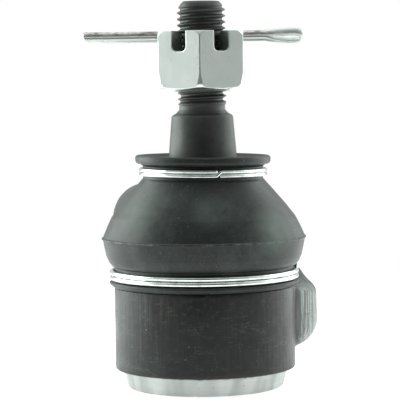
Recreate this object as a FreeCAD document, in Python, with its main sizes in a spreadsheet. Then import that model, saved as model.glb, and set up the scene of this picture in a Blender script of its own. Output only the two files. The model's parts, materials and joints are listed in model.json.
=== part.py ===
import FreeCAD, Part
import Sketcher
import math
import os
from FreeCAD import Placement, Rotation, Vector

# Tie rod end: a ball stud in a forged housing whose arm ends in a threaded shank.
# Frame: Z up along the stud at rest, origin at the middle of the housing's bottom rim
# face, +Y along the shank.  All sizes are millimetres, all angles degrees.

DIMENSIONS = [
    # alias, value, what it is
    ("rim_radius", 16.0, "swaged bottom rim, outer radius at its face"),
    ("rim_root_radius", 16.8, "swaged bottom rim, outer radius at its root"),
    ("rim_top", 3.8, "height where the rim meets the forged wall"),
    ("rim_mouth", 12.9, "radius of the hole inside the rolled rim"),
    ("rim_edge", 0.5, "rounding of the rim's outer edge"),
    ("body_radius", 18.45, "forged housing wall"),
    ("shoulder_top", 20.7, "top of the forged wall, where the boot sits"),
    ("neck_radius", 17.0, "turned neck under the boot"),
    ("neck_groove", 16.4, "bottom of the boot groove in the neck"),
    ("neck_top", 25.3, "top face of the housing"),
    ("throat_radius", 9.0, "narrowest part of the stud opening"),
    ("throat_mouth", 10.5, "stud opening at the top face"),
    ("seat_bore", 12.5, "bore that holds the ball seats"),
    ("seat_stop", 22.6, "height of the step above the upper seat"),
    ("plate_step", 3.3, "height of the step above the cover plate"),
    ("plate_pocket", 14.5, "radius of the pocket for the cover plate"),
    ("plate_radius", 14.35, "cover plate"),
    ("plate_gauge", 1.9, "cover plate thickness"),
    ("plate_dome", 1.35, "how far the cover plate bulges, level with the rim's face"),
    ("spring_gauge", 0.8, "conical preload washer, sheet thickness"),
    ("spring_inner", 6.2, "conical preload washer, inner radius"),
    ("spring_outer", 12.1, "conical preload washer, outer radius"),
    ("seat_bottom", 5.55, "underside of the lower seat"),
    ("seat_window", 5.2, "grease window in the lower seat, radius"),
    ("assembly_gap", 0.05, "air between parts that bear on each other"),
    ("ball_radius", 10.0, "ball of the stud"),
    ("ball_height", 15.5, "centre of the ball"),
    ("seat_gap", 0.05, "running clearance of the ball in its seats"),
    ("stud_neck", 5.4, "stud neck above the ball"),
    ("taper_foot", 43.5, "height of the taper's large end"),
    ("taper_foot_radius", 7.25, "taper's large end"),
    ("taper_top", 55.4, "height of the taper's small end"),
    ("taper_top_radius", 6.28, "taper's small end"),
    ("relief_radius", 4.65, "plain relief under the thread"),
    ("thread_start", 57.6, "where the thread begins"),
    ("thread_end", 77.0, "where the thread ends"),
    ("thread_radius", 4.93, "thread crest, M10 nominal"),
    ("thread_root", 4.24, "thread root"),
    ("thread_pitch", 1.25, "thread pitch"),
    ("stud_top", 78.6, "top of the stud"),
    ("stud_tip_radius", 3.7, "end face of the stud"),
    ("pin_height", 71.46, "cotter pin axis"),
    ("pin_hole", 1.25, "radius of the stud's cross hole"),
    ("pin_turn", -10.6, "cotter pin direction about Z"),
    ("nut_bottom", 60.3, "nut's lower face"),
    ("nut_height", 12.2, "nut, all"),
    ("nut_flats", 17.2, "nut across flats"),
    ("nut_bore", 5.0, "nut bore over the thread crest"),
    ("nut_foot_radius", 8.0, "nut's lower face"),
    ("nut_collar_radius", 9.38, "nut's corners at their narrow lower end"),
    ("nut_collar_top", 61.7, "top of the steep part of the lower corners"),
    ("nut_corner_top", 64.3, "height where the corners start to narrow downwards"),
    ("nut_chamfer", 0.9, "height of the chamfer on the upper corners"),
    ("slot_width", 3.25, "castle slot"),
    ("slot_depth", 4.1, "castle slot"),
    ("slot_corner", 0.95, "rounding at the bottom of a slot"),
    ("pin_radius", 1.12, "two legs together"),
    ("pin_split", 0.03, "half of the air between the legs"),
    ("pin_tip", -24.2, "tip of the longer leg, along the pin"),
    ("pin_short_leg", 0.15, "how much shorter the lower leg is"),
    ("pin_fork", 15.4, "where the legs part, along the pin"),
    ("pin_eye_end", 21.1, "outer end of the eye, along the pin"),
    ("pin_eye_height", 3.3, "height of the eye outside"),
    ("boot_lip_radius", 19.4, "boot's bottom lip"),
    ("boot_lip_height", 1.15, "boot's bottom lip, from the housing to the clip's seat"),
    ("boot_clamp_radius", 18.3, "boot under the lower clip"),
    ("boot_belly_radius", 20.6, "widest part of the boot"),
    ("boot_seam_height", 30.5, "moulding seam round the belly"),
    ("boot_seam_radius", 20.9, "moulding seam round the belly"),
    ("boot_wall", 1.8, "rubber thickness"),
    ("boot_neck_radius", 12.25, "boot under the upper clip"),
    ("boot_flange_radius", 13.8, "boot's top flange"),
    ("boot_top", 47.3, "top of the boot's flange"),
    ("boot_seal", 7.4, "boot's sealing bore round the stud"),
    ("low_clip_wire", 1.0, "lower clip's wire diameter"),
    ("low_clip_radius", 18.86, "lower clip, middle of the wire"),
    ("low_clip_bottom", 22.45, "lower clip, middle of its first turn"),
    ("low_clip_turns", 1.97, "lower clip's turns"),
    ("low_clip_turn", 8.0, "where the lower clip's wire begins, about Z"),
    ("top_clip_wire", 0.8, "upper clip's wire diameter"),
    ("top_clip_radius", 12.71, "upper clip, middle of the wire"),
    ("top_clip_bottom", 43.3, "upper clip, middle of its first turn"),
    ("top_clip_turns", 1.99, "upper clip's turns"),
    ("top_clip_turn", -84.4, "where the upper clip's wire begins, about Z"),
    ("coil_gap", 0.06, "air between a clip's turns"),
    ("root_bottom", 7.8, "arm root, underside"),
    ("root_top", 20.4, "arm root, top"),
    ("root_side", 25.1, "arm root, outer side along X"),
    ("boot_seat", 20.3, "turned seat that clears the boot's lip over the arm's root"),
    ("shank_height", 28.0, "shank axis"),
    ("shank_radius", 8.8, "shank"),
    ("shank_start", 61.0, "where the round shank begins"),
    ("shank_end", 98.5, "end face of the shank"),
    ("shank_flats", 15.0, "wrench flats across the shank"),
    ("flats_start", 72.0, "wrench flats, near end"),
    ("flats_length", 14.0, "wrench flats, length"),
    ("socket_radius", 5.35, "threaded socket's wall, M12 x 1.25"),
    ("socket_depth", 36.0, "threaded socket"),
    ("socket_chamfer", 1.1, "lead-in of the socket"),
]

doc = FreeCAD.newDocument("tie_rod_end")
sheet = doc.addObject("Spreadsheet::Sheet", "Sizes")
for row, (alias, number, meaning) in enumerate(DIMENSIONS, start=1):
    sheet.set(f"A{row}", alias)
    sheet.set(f"B{row}", str(number))
    sheet.setAlias(f"B{row}", alias)
    sheet.set(f"C{row}", meaning)
doc.recompute()


class Size:
    """A length with its spreadsheet expression, so that sums of sizes stay parametric."""

    def __init__(self, text, number):
        self.text = text
        self.number = number

    def joined(self, sign, other, number):
        return Size(f"({self.text} {sign} {as_size(other).text})", number)

    def __add__(self, other):
        return self.joined("+", other, self.number + as_size(other).number)

    def __sub__(self, other):
        return self.joined("-", other, self.number - as_size(other).number)

    def __mul__(self, other):
        return self.joined("*", other, self.number * as_size(other).number)

    def __truediv__(self, other):
        return self.joined("/", other, self.number / as_size(other).number)

    def __neg__(self):
        return Size(f"(-1 * {self.text})", -self.number)


def as_size(item):
    """Turn a plain number into a Size, and leave a Size as it is."""
    return item if isinstance(item, Size) else Size(str(item), float(item))


def size(alias):
    """The spreadsheet's cell of this alias, as a Size."""
    return Size(f"Sizes.{alias}", float(sheet.get(alias)))


def bind(feature, prop, item):
    """Drive one property or constraint of a feature from the spreadsheet."""
    feature.setExpression(prop, as_size(item).text)


# --- building blocks -------------------------------------------------------------------

def new_body(name, turn=None):
    """An empty PartDesign body; turn is its rotation about Z, in degrees."""
    body = doc.addObject("PartDesign::Body", name + "_body")
    body.Label = name
    if turn is not None:
        body.Placement = Placement(Vector(0, 0, 0), Rotation(Vector(0, 0, 1), turn.number))
        bind(body, "Placement.Rotation.Angle", turn)
    return body


def origin_feature(body, role):
    return [item for item in body.Origin.OriginFeatures if item.Role == role][0]


def new_sketch(body, name, role="XZ_Plane", lift=0):
    """A sketch on one of the body's origin planes, moved along its normal by lift."""
    sketch = body.newObject("Sketcher::SketchObject", name)
    sketch.AttachmentSupport = [(origin_feature(body, role), "")]
    sketch.MapMode = "FlatFace"
    bind(sketch, "AttachmentOffset.Base.z", lift)
    return sketch


def arc_between(start, end, radius):
    """Arc from start to end that bulges left of its travel, or right if radius < 0."""
    chord = end - start
    reach = math.sqrt(max(radius * radius - chord.Length ** 2 / 4, 0.0))
    left = Vector(-chord.y, chord.x, 0).normalize()
    if radius < 0:
        left = -left
    centre = (start + end) / 2 - left * reach
    return Part.Arc(start, centre + left * abs(radius), end)


def pin_point(sketch, edge, end, across, up):
    """Fix one end of an edge at (across, up) from the sketch's origin."""
    for kind, place in (("DistanceX", as_size(across)), ("DistanceY", as_size(up))):
        rule = Sketcher.Constraint(kind, -1, 1, edge, end, place.number)
        bind(sketch, f"Constraints[{sketch.addConstraint(rule)}]", place)


def end_numbers(sketch, edge, start):
    """The number of the edge's end that lies at start, then the other end's number."""
    at_start = (sketch.getPoint(edge, 1) - start).Length < 1e-6
    return (1, 2) if at_start else (2, 1)


def outline(sketch, corners, closed=True):
    """Join corners (across, up), or (across, up, radius of the arc leaving the corner)."""
    spots = [Vector(as_size(c[0]).number, as_size(c[1]).number, 0) for c in corners]
    edges = len(corners) if closed else len(corners) - 1
    for index in range(edges):
        corner = corners[index]
        start, end = spots[index], spots[(index + 1) % len(corners)]
        if len(corner) == 3:
            sketch.addGeometry(arc_between(start, end, as_size(corner[2]).number))
        else:
            sketch.addGeometry(Part.LineSegment(start, end))
    for index in range(edges):
        corner = corners[index]
        follower = (index + 1) % len(corners)
        first, second = end_numbers(sketch, index, spots[index])
        pin_point(sketch, index, first, corner[0], corner[1])
        if follower < edges:
            joint = end_numbers(sketch, follower, spots[follower])[0]
            rule = Sketcher.Constraint("Coincident", index, second, follower, joint)
            sketch.addConstraint(rule)
        else:
            pin_point(sketch, index, second, corners[follower][0], corners[follower][1])
        if len(corner) == 3:
            radius = as_size(corner[2])
            radius = radius if radius.number > 0 else -radius
            rule = Sketcher.Constraint("Radius", index, radius.number)
            bind(sketch, f"Constraints[{sketch.addConstraint(rule)}]", radius)
    return sketch


def turned(body, name, corners, kind="PartDesign::Revolution"):
    """Turn a closed outline of (radius, height) about the body's Z axis."""
    sketch = outline(new_sketch(body, name + "_outline"), corners)
    return revolved(body, name, sketch, "V_Axis", kind)


def turned_level(body, name, corners, height, kind="PartDesign::Revolution"):
    """Turn a closed outline of (Y, Z) about a level axis along Y at this height."""
    sketch = outline(new_sketch(body, name + "_outline", "YZ_Plane"), corners)
    line = Part.LineSegment(Vector(0, height.number, 0), Vector(1, height.number, 0))
    axis = sketch.addGeometry(line, True)
    pin_point(sketch, axis, 1, 0, height)
    pin_point(sketch, axis, 2, 1, height)
    return revolved(body, name, sketch, "Axis0", kind)


def revolved(body, name, sketch, axis, kind):
    feature = body.newObject(kind, name)
    feature.Profile = sketch
    feature.ReferenceAxis = (sketch, [axis])
    feature.Angle = 360
    doc.recompute()
    return feature


def grooved(body, name, corners):
    """Cut away a closed outline of (radius, height) turned about the body's Z axis."""
    return turned(body, name, corners, "PartDesign::Groove")


def wound(body, name, kind, sketch, pitch, turns):
    """Sweep a sketch along a helix about the body's Z axis, adding or cutting."""
    feature = body.newObject(kind, name)
    feature.Profile = sketch
    feature.ReferenceAxis = (sketch, ["V_Axis"])
    feature.Mode = "pitch-turns-angle"
    bind(feature, "Pitch", pitch)
    bind(feature, "Turns", turns)
    doc.recompute()
    return feature


def through_pocket(body, name, sketch):
    """Cut a sketch through the whole body, both ways from its plane."""
    feature = body.newObject("PartDesign::Pocket", name)
    feature.Profile = sketch
    feature.Type = "ThroughAll"
    feature.Midplane = True
    doc.recompute()
    return feature


def circle_sketch(body, name, role, across, up, radius, lift=0):
    """A sketch of one circle centred on (across, up)."""
    sketch = new_sketch(body, name, role, lift)
    spot = Vector(as_size(across).number, as_size(up).number, 0)
    sketch.addGeometry(Part.Circle(spot, Vector(0, 0, 1), as_size(radius).number))
    pin_point(sketch, 0, 3, across, up)
    rule = Sketcher.Constraint("Radius", 0, as_size(radius).number)
    bind(sketch, f"Constraints[{sketch.addConstraint(rule)}]", radius)
    return sketch


# --- housing: turned and forged body, arm, shank ---------------------------------------

def make_housing():
    body = new_body("housing")
    rim = size("rim_radius")
    edge = size("rim_edge")
    wall = size("body_radius")
    wall_edge = 0.5
    neck = size("neck_radius")
    groove = size("neck_groove")
    shoulder = size("shoulder_top")
    top = size("neck_top")
    turned(body, "forging", [
        (0, 0), (rim - edge, 0, -edge), (rim, edge), (size("rim_root_radius"), size("rim_top")),
        (wall - wall_edge, size("rim_top"), -wall_edge), (wall, size("rim_top") + wall_edge),
        (wall, shoulder), (neck, shoulder), (neck, top - 2.9), (groove, top - 2.6),
        (groove, top - 1.2), (neck, top - 0.9), (neck, top - 0.3), (neck - 0.3, top), (0, top),
    ])
    make_arm(body)
    make_shank(body)
    seat = size("boot_seat")
    clear = 20
    grooved(body, "boot_seat", [
        (neck, shoulder), (seat, shoulder), (seat + 1.5, shoulder + 3),
        (seat + 1.5, shoulder + clear), (neck, shoulder + clear),
    ])
    # ball cavity, open at the top for the stud and at the bottom for the cover plate
    mouth = size("rim_mouth")
    pocket = size("plate_pocket")
    step = size("plate_step")
    bore = size("seat_bore")
    stop = size("seat_stop")
    throat = size("throat_mouth")
    grooved(body, "cavity", [
        (0, -1), (mouth, -1), (mouth, 0.5), (pocket, 1.2), (pocket, step), (bore, step),
        (bore, stop), (size("throat_radius"), stop), (throat, top), (throat, top + 1), (0, top + 1),
    ])


def arm_section(body, number, station, across, height, wide, tall, low_corner, high_corner):
    """Rounded rectangle across the arm at Y = station, centred on (across, height)."""
    sketch = new_sketch(body, f"arm_section_{number}", "XZ_Plane", -as_size(station))
    across, height = as_size(across), as_size(height)
    left, right = across - wide / 2, across + wide / 2
    low, high = height - tall / 2, height + tall / 2
    return outline(sketch, [
        (left + low_corner, low), (right - low_corner, low, -low_corner),
        (right, low + low_corner), (right, high - high_corner, -high_corner),
        (right - high_corner, high), (left + high_corner, high, -high_corner),
        (left, high - high_corner), (left, low + low_corner, -low_corner),
    ])


def make_arm(body):
    """Forged arm: it leaves the housing's flank, bows outwards and rises to the shank."""
    root = (size("root_bottom") + size("root_top")) / 2
    tall = size("root_top").number - size("root_bottom").number
    rise = size("shank_height") - root
    side = size("root_side")
    rows = [
        # Y, middle across, middle height, width, height, lower corners, upper corners
        (-6.0, side - 12.6, root, 8.4, tall, 3.9, 1.6),
        (8.4, side - 7.0, root, 14.0, tall, 5.2, 3.0),
        (17.0, side - 7.2, root + rise * 0.13, 14.4, tall + 0.4, 5.2, 4.4),
        (27.0, side - 8.8, root + rise * 0.38, 14.2, 13.8, 5.4, 5.2),
        (40.0, side - 15.6, root + rise * 0.74, 14.0, 14.0, 5.8, 5.8),
        (51.0, side - 22.2, root + rise * 0.94, 14.8, 14.8, 6.6, 6.6),
        (size("shank_start") + 2, 0, root + rise, 16.4, 16.4, 8.0, 8.0),
    ]
    sketches = [arm_section(body, number, *row) for number, row in enumerate(rows, start=1)]
    loft = body.newObject("PartDesign::AdditiveLoft", "arm")
    loft.Profile = sketches[0]
    loft.Sections = sketches[1:]
    loft.Ruled = False
    doc.recompute()


def make_shank(body):
    """Round shank along Y with wrench flats and a threaded socket in its end."""
    height = size("shank_height")
    radius = size("shank_radius")
    start = size("shank_start")
    end = size("shank_end")
    edge = 0.9
    turned_level(body, "shank", [
        (start, height), (start, height + radius - edge), (start + edge, height + radius),
        (end - edge, height + radius), (end, height + radius - edge), (end, height),
    ], height)
    floor = end - size("socket_depth")
    bore = size("socket_radius")
    lead_in = size("socket_chamfer")
    turned_level(body, "rod_socket", [
        (floor - 2.5, height), (floor, height + bore), (end - lead_in, height + bore),
        (end, height + bore + lead_in), (end + 1, height + bore + lead_in), (end + 1, height),
    ], height, "PartDesign::Groove")
    flats = size("shank_flats") / 2
    first = size("flats_start")
    last = first + size("flats_length")
    outside = radius.number + 1
    for side, name in ((1, "right"), (-1, "left")):
        inner, outer = flats * side, as_size(outside * side)
        cut = outline(new_sketch(body, name + "_flat_outline", "XY_Plane", height), [
            (inner, first), (outer, first), (outer, last), (inner, last),
        ])
        through_pocket(body, name + "_flat", cut)


# --- ball, seats, spring and cover -----------------------------------------------------

def square_root(item):
    return Size(f"sqrt({item.text})", math.sqrt(item.number))


def ball_reach(radius, out):
    """How far above or below its centre a ball of this radius is, at distance out."""
    return square_root(radius * radius - out * out)


def make_cover_plate():
    gap = size("assembly_gap")
    top = size("plate_step") - gap
    low = top - size("plate_gauge")
    dome = size("plate_dome")
    edge = size("plate_radius")
    bend_out = edge - 3.6
    bend_in = edge - 5.2
    body = new_body("cover_plate")
    turned(body, "pressed_disc", [
        (0, low - dome), (bend_in, low - dome), (bend_out, low), (edge - 0.2, low),
        (edge, low + 0.2), (edge, top), (bend_out + 0.4, top), (bend_in + 0.4, top - dome),
        (0, top - dome),
    ])


def make_preload_spring():
    gauge = size("spring_gauge")
    inner = size("spring_inner")
    outer = size("spring_outer")
    low = size("plate_step")
    top = size("seat_bottom") - size("assembly_gap")
    body = new_body("preload_spring")
    turned(body, "conical_washer", [
        (outer, low), (outer + 0.1, low + gauge), (inner + 0.1, top), (inner, top - gauge),
    ])


def make_seats():
    gap = size("assembly_gap")
    inner = size("ball_radius") + size("seat_gap")
    outer = size("seat_bore") - gap
    centre = size("ball_height")
    window = size("seat_window")
    bottom = size("seat_bottom")
    lower = new_body("lower_ball_seat")
    turned(lower, "lower_cup", [
        (window, bottom), (outer - 0.5, bottom), (outer, bottom + 0.5), (outer, centre - gap),
        (inner, centre - gap, inner), (window, centre - ball_reach(inner, window)),
    ])
    throat = size("throat_radius") + 2 * gap.number
    top = size("seat_stop") - gap
    upper = new_body("upper_ball_seat")
    turned(upper, "upper_cup", [
        (inner, centre + gap), (outer, centre + gap), (outer, top - 0.5), (outer - 0.5, top),
        (throat, top), (throat, centre + ball_reach(inner, throat), inner),
    ])


def make_ball_stud():
    ball = size("ball_radius")
    centre = size("ball_height")
    neck = size("stud_neck")
    foot = size("taper_foot")
    foot_radius = size("taper_foot_radius")
    small = size("taper_top_radius")
    shoulder = size("taper_top")
    relief = size("relief_radius")
    crest = size("thread_radius")
    root = size("thread_root")
    start = size("thread_start")
    end = size("thread_end")
    body = new_body("ball_stud", size("pin_turn"))
    turned(body, "blank", [
        (0, centre - ball, -ball), (neck, centre + ball_reach(ball, neck)),
        (neck, centre + ball + 5), (foot_radius, foot - 2), (foot_radius, foot),
        (small, shoulder), (small - 0.25, shoulder + 0.25, 1.9), (relief, shoulder + 1.6),
        (relief, start), (crest, start + 0.3), (crest, end - 0.2), (crest - 0.5, end + 0.2),
        (size("stud_tip_radius") + 0.2, size("stud_top") - 0.2),
        (size("stud_tip_radius"), size("stud_top")), (0, size("stud_top")),
    ])
    pitch = size("thread_pitch")
    groove_floor = pitch / 16
    clear = 0.25
    flank = (crest - root + clear) * 0.577 + groove_floor
    first = start + 0.5
    sketch = outline(new_sketch(body, "thread_groove_outline"), [
        (root, first - groove_floor), (crest + clear, first - flank),
        (crest + clear, first + flank), (root, first + groove_floor),
    ])
    turns = (end - first) / pitch
    wound(body, "thread_groove", "PartDesign::SubtractiveHelix", sketch, pitch, turns)
    hole = circle_sketch(body, "cross_hole_outline", "YZ_Plane", 0, size("pin_height"),
                         size("pin_hole"))
    through_pocket(body, "cross_hole", hole)


# --- nut and cotter pin ----------------------------------------------------------------

def make_castle_nut():
    flats = size("nut_flats")
    low = size("nut_bottom")
    height = size("nut_height")
    top = low + height
    half = flats / 2
    corner = flats * 0.57735
    waist = flats * 0.288675
    body = new_body("castle_nut", size("pin_turn"))
    hexagon = outline(new_sketch(body, "hexagon", "XY_Plane", low), [
        (half, -waist), (half, waist), (0, corner), (-half, waist), (-half, -waist), (0, -corner),
    ])
    pad = body.newObject("PartDesign::Pad", "hexagon_bar")
    pad.Profile = hexagon
    bind(pad, "Length", height)
    doc.recompute()
    outside = corner + 2
    foot = size("nut_foot_radius")
    collar = size("nut_collar_radius")
    collar_top = size("nut_collar_top")
    corner_top = size("nut_corner_top")
    grooved(body, "lower_corners", [
        (foot, low - 1), (foot, low), (half, low + 0.55), (collar, low + 0.8),
        (collar + 0.26, collar_top), (corner, corner_top), (outside, corner_top),
        (outside, low - 1),
    ])
    chamfer = size("nut_chamfer")
    grooved(body, "upper_corners", [
        (collar, top + 1), (collar, top), (corner, top - chamfer), (outside, top - chamfer),
        (outside, top + 1),
    ])
    bore = size("nut_bore")
    grooved(body, "thread_bore", [
        (0, low - 1), (bore + 0.6, low - 1), (bore + 0.6, low), (bore, low + 0.6),
        (bore, top - 0.6), (bore + 0.6, top), (bore + 0.6, top + 1), (0, top + 1),
    ])
    side = size("slot_width") / 2
    floor = top - size("slot_depth")
    round_off = size("slot_corner")
    slot = outline(new_sketch(body, "slot_outline", "YZ_Plane"), [
        (round_off - side, floor), (side - round_off, floor, -round_off),
        (side, floor + round_off), (side, top + 1), (-side, top + 1),
        (-side, floor + round_off, -round_off),
    ])
    through_pocket(body, "slot", slot)
    pattern = body.newObject("PartDesign::PolarPattern", "slots")
    pattern.Originals = [body.Tip]
    pattern.Axis = (origin_feature(body, "Z_Axis"), [""])
    pattern.Angle = 120
    pattern.Occurrences = 3
    body.Tip = pattern
    doc.recompute()


def make_cotter_pin():
    """Half-round wire folded on itself: two legs and an eye, in the XZ plane of its body."""
    radius = size("pin_radius")
    split = size("pin_split")
    tip = size("pin_tip")
    fork = size("pin_fork")
    height = size("pin_height")
    rise = size("pin_eye_height") / 2 - radius
    bow = size("pin_eye_end") - radius - rise
    swing = 1.1
    lift = (rise - split) / 2
    bend = (lift * lift + swing * swing) / (lift * 2)
    upper = height + split
    lower = height - split
    body = new_body("cotter_pin", size("pin_turn"))
    section = outline(new_sketch(body, "wire_section", "YZ_Plane", tip), [
        (-radius, upper), (radius, upper, -radius), (0, upper + radius, -radius),
    ])
    path = outline(new_sketch(body, "wire_path"), [
        (tip, upper), (fork, upper, -bend), (fork + swing, upper + lift, bend),
        (fork + swing * 2, height + rise), (bow, height + rise, rise),
        (bow + rise, height, rise), (bow, height - rise), (fork + swing * 2, height - rise, bend),
        (fork + swing, lower - lift, -bend), (fork, lower), (tip + size("pin_short_leg"), lower),
    ], closed=False)
    pipe = body.newObject("PartDesign::AdditivePipe", "wire")
    pipe.Profile = section
    pipe.Spine = (path, [f"Edge{number}" for number in range(1, path.GeometryCount + 1)])
    doc.recompute()


# --- dust boot and its two wire clips --------------------------------------------------

def make_dust_boot():
    gap = size("assembly_gap")
    neck = size("neck_radius") + gap
    bead = size("neck_groove") + gap
    shoulder = size("shoulder_top") + gap
    top = size("neck_top")
    clamp = size("boot_clamp_radius")
    lip = size("boot_lip_radius")
    lip_top = shoulder + size("boot_lip_height")
    wall = size("boot_wall")
    belly = size("boot_belly_radius")
    seam = size("boot_seam_height")
    seam_out = size("boot_seam_radius")
    throat = size("boot_neck_radius")
    flange = size("boot_flange_radius")
    crown = size("boot_top")
    seal = size("boot_seal")
    body = new_body("dust_boot")
    turned(body, "boot_wall", [
        # outside, from the bottom lip to the top flange
        (neck, shoulder), (lip - 0.7, shoulder), (lip, shoulder + 0.6),
        (lip - 0.1, lip_top - 0.2), (lip - 0.4, lip_top), (clamp, lip_top + 0.05),
        (clamp, top - 0.15), (clamp + 0.5, top - 0.05, -7.6), (belly, seam - 0.45),
        (seam_out, seam - 0.15),
        (seam_out, seam + 0.15), (belly - 0.15, seam + 0.5, -16), (belly - 2.2, seam + 4.9),
        (throat + 0.35, crown - 5.1), (throat, crown - 4.7), (throat, crown - 1.95),
        (flange - 0.6, crown - 1.75, -0.8), (flange, crown - 1.1), (flange, crown - 0.4, -0.4),
        (flange - 0.4, crown),
        # dish inside the flange, and the sealing bore round the stud
        (flange - 0.9, crown), (flange - 1.4, crown - 0.6), (seal + 2.2, crown - 1.0),
        (seal + 0.9, crown - 0.5), (seal + 0.3, crown - 0.6), (seal, crown - 1.0),
        (seal, crown - 3.3), (seal + 1.1, crown - 4.0),
        # inside, from the top to the bead in the housing's groove
        (throat - 2.0, crown - 4.9), (belly - 2.2 - wall, seam + 4.1, 16),
        (belly - wall - 0.1, seam + 0.3, 7.0), (neck + 0.25, top + 0.9), (neck, top - 0.3),
        (neck, top - 0.95), (bead, top - 1.3), (bead, top - 2.5), (neck, top - 2.8),
    ])


def make_clip(name, prefix):
    """Round wire wound into a ring, its turns side by side."""
    wire = size(prefix + "_wire")
    body = new_body(name, size(prefix + "_turn"))
    section = circle_sketch(body, prefix + "_section", "XZ_Plane", size(prefix + "_radius"),
                            size(prefix + "_bottom"), wire / 2)
    wound(body, prefix + "_coil", "PartDesign::AdditiveHelix", section, wire + size("coil_gap"),
          size(prefix + "_turns"))


def finish():
    """Check every feature, then write one STEP file for each sub-part."""
    doc.recompute()
    for item in doc.Objects:
        if "Invalid" in item.State or "Error" in item.State:
            raise RuntimeError(f"{item.Name} did not rebuild: {item.State}")
    bodies = [item for item in doc.Objects if item.isDerivedFrom("PartDesign::Body")]
    for body in bodies:
        if body.Shape.isNull() or not body.Shape.isValid():
            raise RuntimeError(f"{body.Label} is not a sound shape")
    os.makedirs("parts", exist_ok=True)
    for body in bodies:
        body.Shape.exportStep(f"parts/{body.Label}.step")
        print(f"{body.Label}: {body.Shape.Volume:.1f} mm3, {len(body.Shape.Solids)} solid")


make_housing()
make_cover_plate()
make_preload_spring()
make_seats()
make_ball_stud()
make_dust_boot()
make_clip("lower_boot_clip", "low_clip")
make_clip("upper_boot_clip", "top_clip")
make_castle_nut()
make_cotter_pin()
finish()
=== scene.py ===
import json
import math

import bmesh
import bpy
import numpy as np
from mathutils import Matrix, Vector, noise


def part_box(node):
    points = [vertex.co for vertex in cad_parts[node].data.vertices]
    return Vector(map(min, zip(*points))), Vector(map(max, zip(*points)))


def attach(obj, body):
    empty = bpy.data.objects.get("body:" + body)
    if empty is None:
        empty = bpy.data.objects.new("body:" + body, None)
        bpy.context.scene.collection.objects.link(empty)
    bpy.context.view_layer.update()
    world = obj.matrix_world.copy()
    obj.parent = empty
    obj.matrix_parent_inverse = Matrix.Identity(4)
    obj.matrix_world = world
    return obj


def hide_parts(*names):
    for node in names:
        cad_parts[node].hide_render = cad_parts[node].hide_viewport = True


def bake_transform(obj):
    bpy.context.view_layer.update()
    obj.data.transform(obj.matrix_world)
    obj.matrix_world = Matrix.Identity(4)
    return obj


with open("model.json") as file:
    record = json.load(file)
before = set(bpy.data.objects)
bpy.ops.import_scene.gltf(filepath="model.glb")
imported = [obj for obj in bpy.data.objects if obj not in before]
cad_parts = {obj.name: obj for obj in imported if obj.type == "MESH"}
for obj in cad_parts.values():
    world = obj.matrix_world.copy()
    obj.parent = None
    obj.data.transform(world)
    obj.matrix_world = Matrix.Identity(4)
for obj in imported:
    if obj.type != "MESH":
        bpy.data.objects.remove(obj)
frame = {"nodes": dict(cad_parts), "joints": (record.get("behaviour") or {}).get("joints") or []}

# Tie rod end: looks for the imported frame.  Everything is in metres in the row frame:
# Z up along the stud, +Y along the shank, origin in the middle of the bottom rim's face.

MM = 0.001
TURN = 2 * math.pi
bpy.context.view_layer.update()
nodes = frame["nodes"]
joints = {joint["name"]: joint for joint in frame["joints"]}

# Measures taken from the frame.  Lengths named in capitals are in mm from here on, apart
# from the corners of boxes and the camera's and the lamps' places, which are in metres.
HOUSING_LOW, HOUSING_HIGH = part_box("housing")
SHANK_END = HOUSING_HIGH.y / MM
STUD_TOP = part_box("ball_stud")[1].z / MM
PIN_LOW, PIN_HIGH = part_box("cotter_pin")
PIN_HEIGHT = (PIN_LOW.z + PIN_HIGH.z) / 2 / MM
PIN_WAY = Vector(joints["pin_slide"]["axis"])
PIN_TURN = math.atan2(PIN_WAY.y, PIN_WAY.x)

# Mesh fineness.
FORGING_VOXEL = 0.3
NUT_VOXEL = 0.115
FINEST_STEP = 0.004               # closest points of a rounded outline
WELD_GAP = 0.002                  # vertices this near each other become one

# Forging.
ARM_LINE = [(-6.0, 13.9), (8.4, 13.9), (17.0, 15.7), (27.0, 19.3), (40.0, 24.3), (51.0, 27.2),
            (63.0, 28.0)]         # height of the arm's middle along Y
SHANK_HEIGHT = 28.0
WALL_SKIN = 18.2                  # radius inside which the housing is turned, not forged
ARM_BEGINS = 19.5                 # radius where the arm leaves the wall
FLASH_BEGINS = 20.0               # where the parting flash begins and ends along Y
FLASH_ENDS = 61.5
FLASH_HEIGHT = 0.20
COAT_EDGE = (4.25, 4.45)          # heights between which the black coat gives way to steel

# Socket in the shank.
SOCKET_CREST = 5.35
SOCKET_ROOT = 6.02
SOCKET_WIDENED = 6.15             # bore of the forging round the thread's sleeve
SLEEVE_RADIUS = 6.3               # outside of the thread's sleeve
SOCKET_PITCH = 1.25
SOCKET_FLOOR = 62.5
SOCKET_SPACE = (60.0, 7.0)        # machined from here on along Y, within this radius

# Stud and pin.
BALL_RADIUS = 10.0
BALL_HEIGHT = 15.5
STUD_NECK = 5.4
THREAD_CREST = 4.93
THREAD_ROOT = 4.26
THREAD_PITCH = 1.25
THREAD_START = 57.6
THREAD_END = 77.0
CROSS_HOLE = 1.25                 # radius
PIN_RADIUS = 1.12
PIN_TIPS = {1: -24.15, -1: -24.0}     # ends of the upper and the lower leg along the pin
EYE_TWIST = math.radians(36)
TWIST_BEGINS = 12.6               # where the pin starts to twist, and over what length
TWIST_LENGTH = 4.0

# Boot.
BOOT_FREE = (25.2, 42.0)          # heights between which no clip holds the boot
SEAM_HEIGHT = 30.51               # middle of the moulding seam
SEAM_HALF = 0.14                  # half of the seam's thickness
SEAM_EDGE = 20.8                  # radius beyond which the seam's flash is ragged
FLANGE_BEGINS = 13.3              # the top flange's outer part: radius and height
FLANGE_BOTTOM = 45.6

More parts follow.
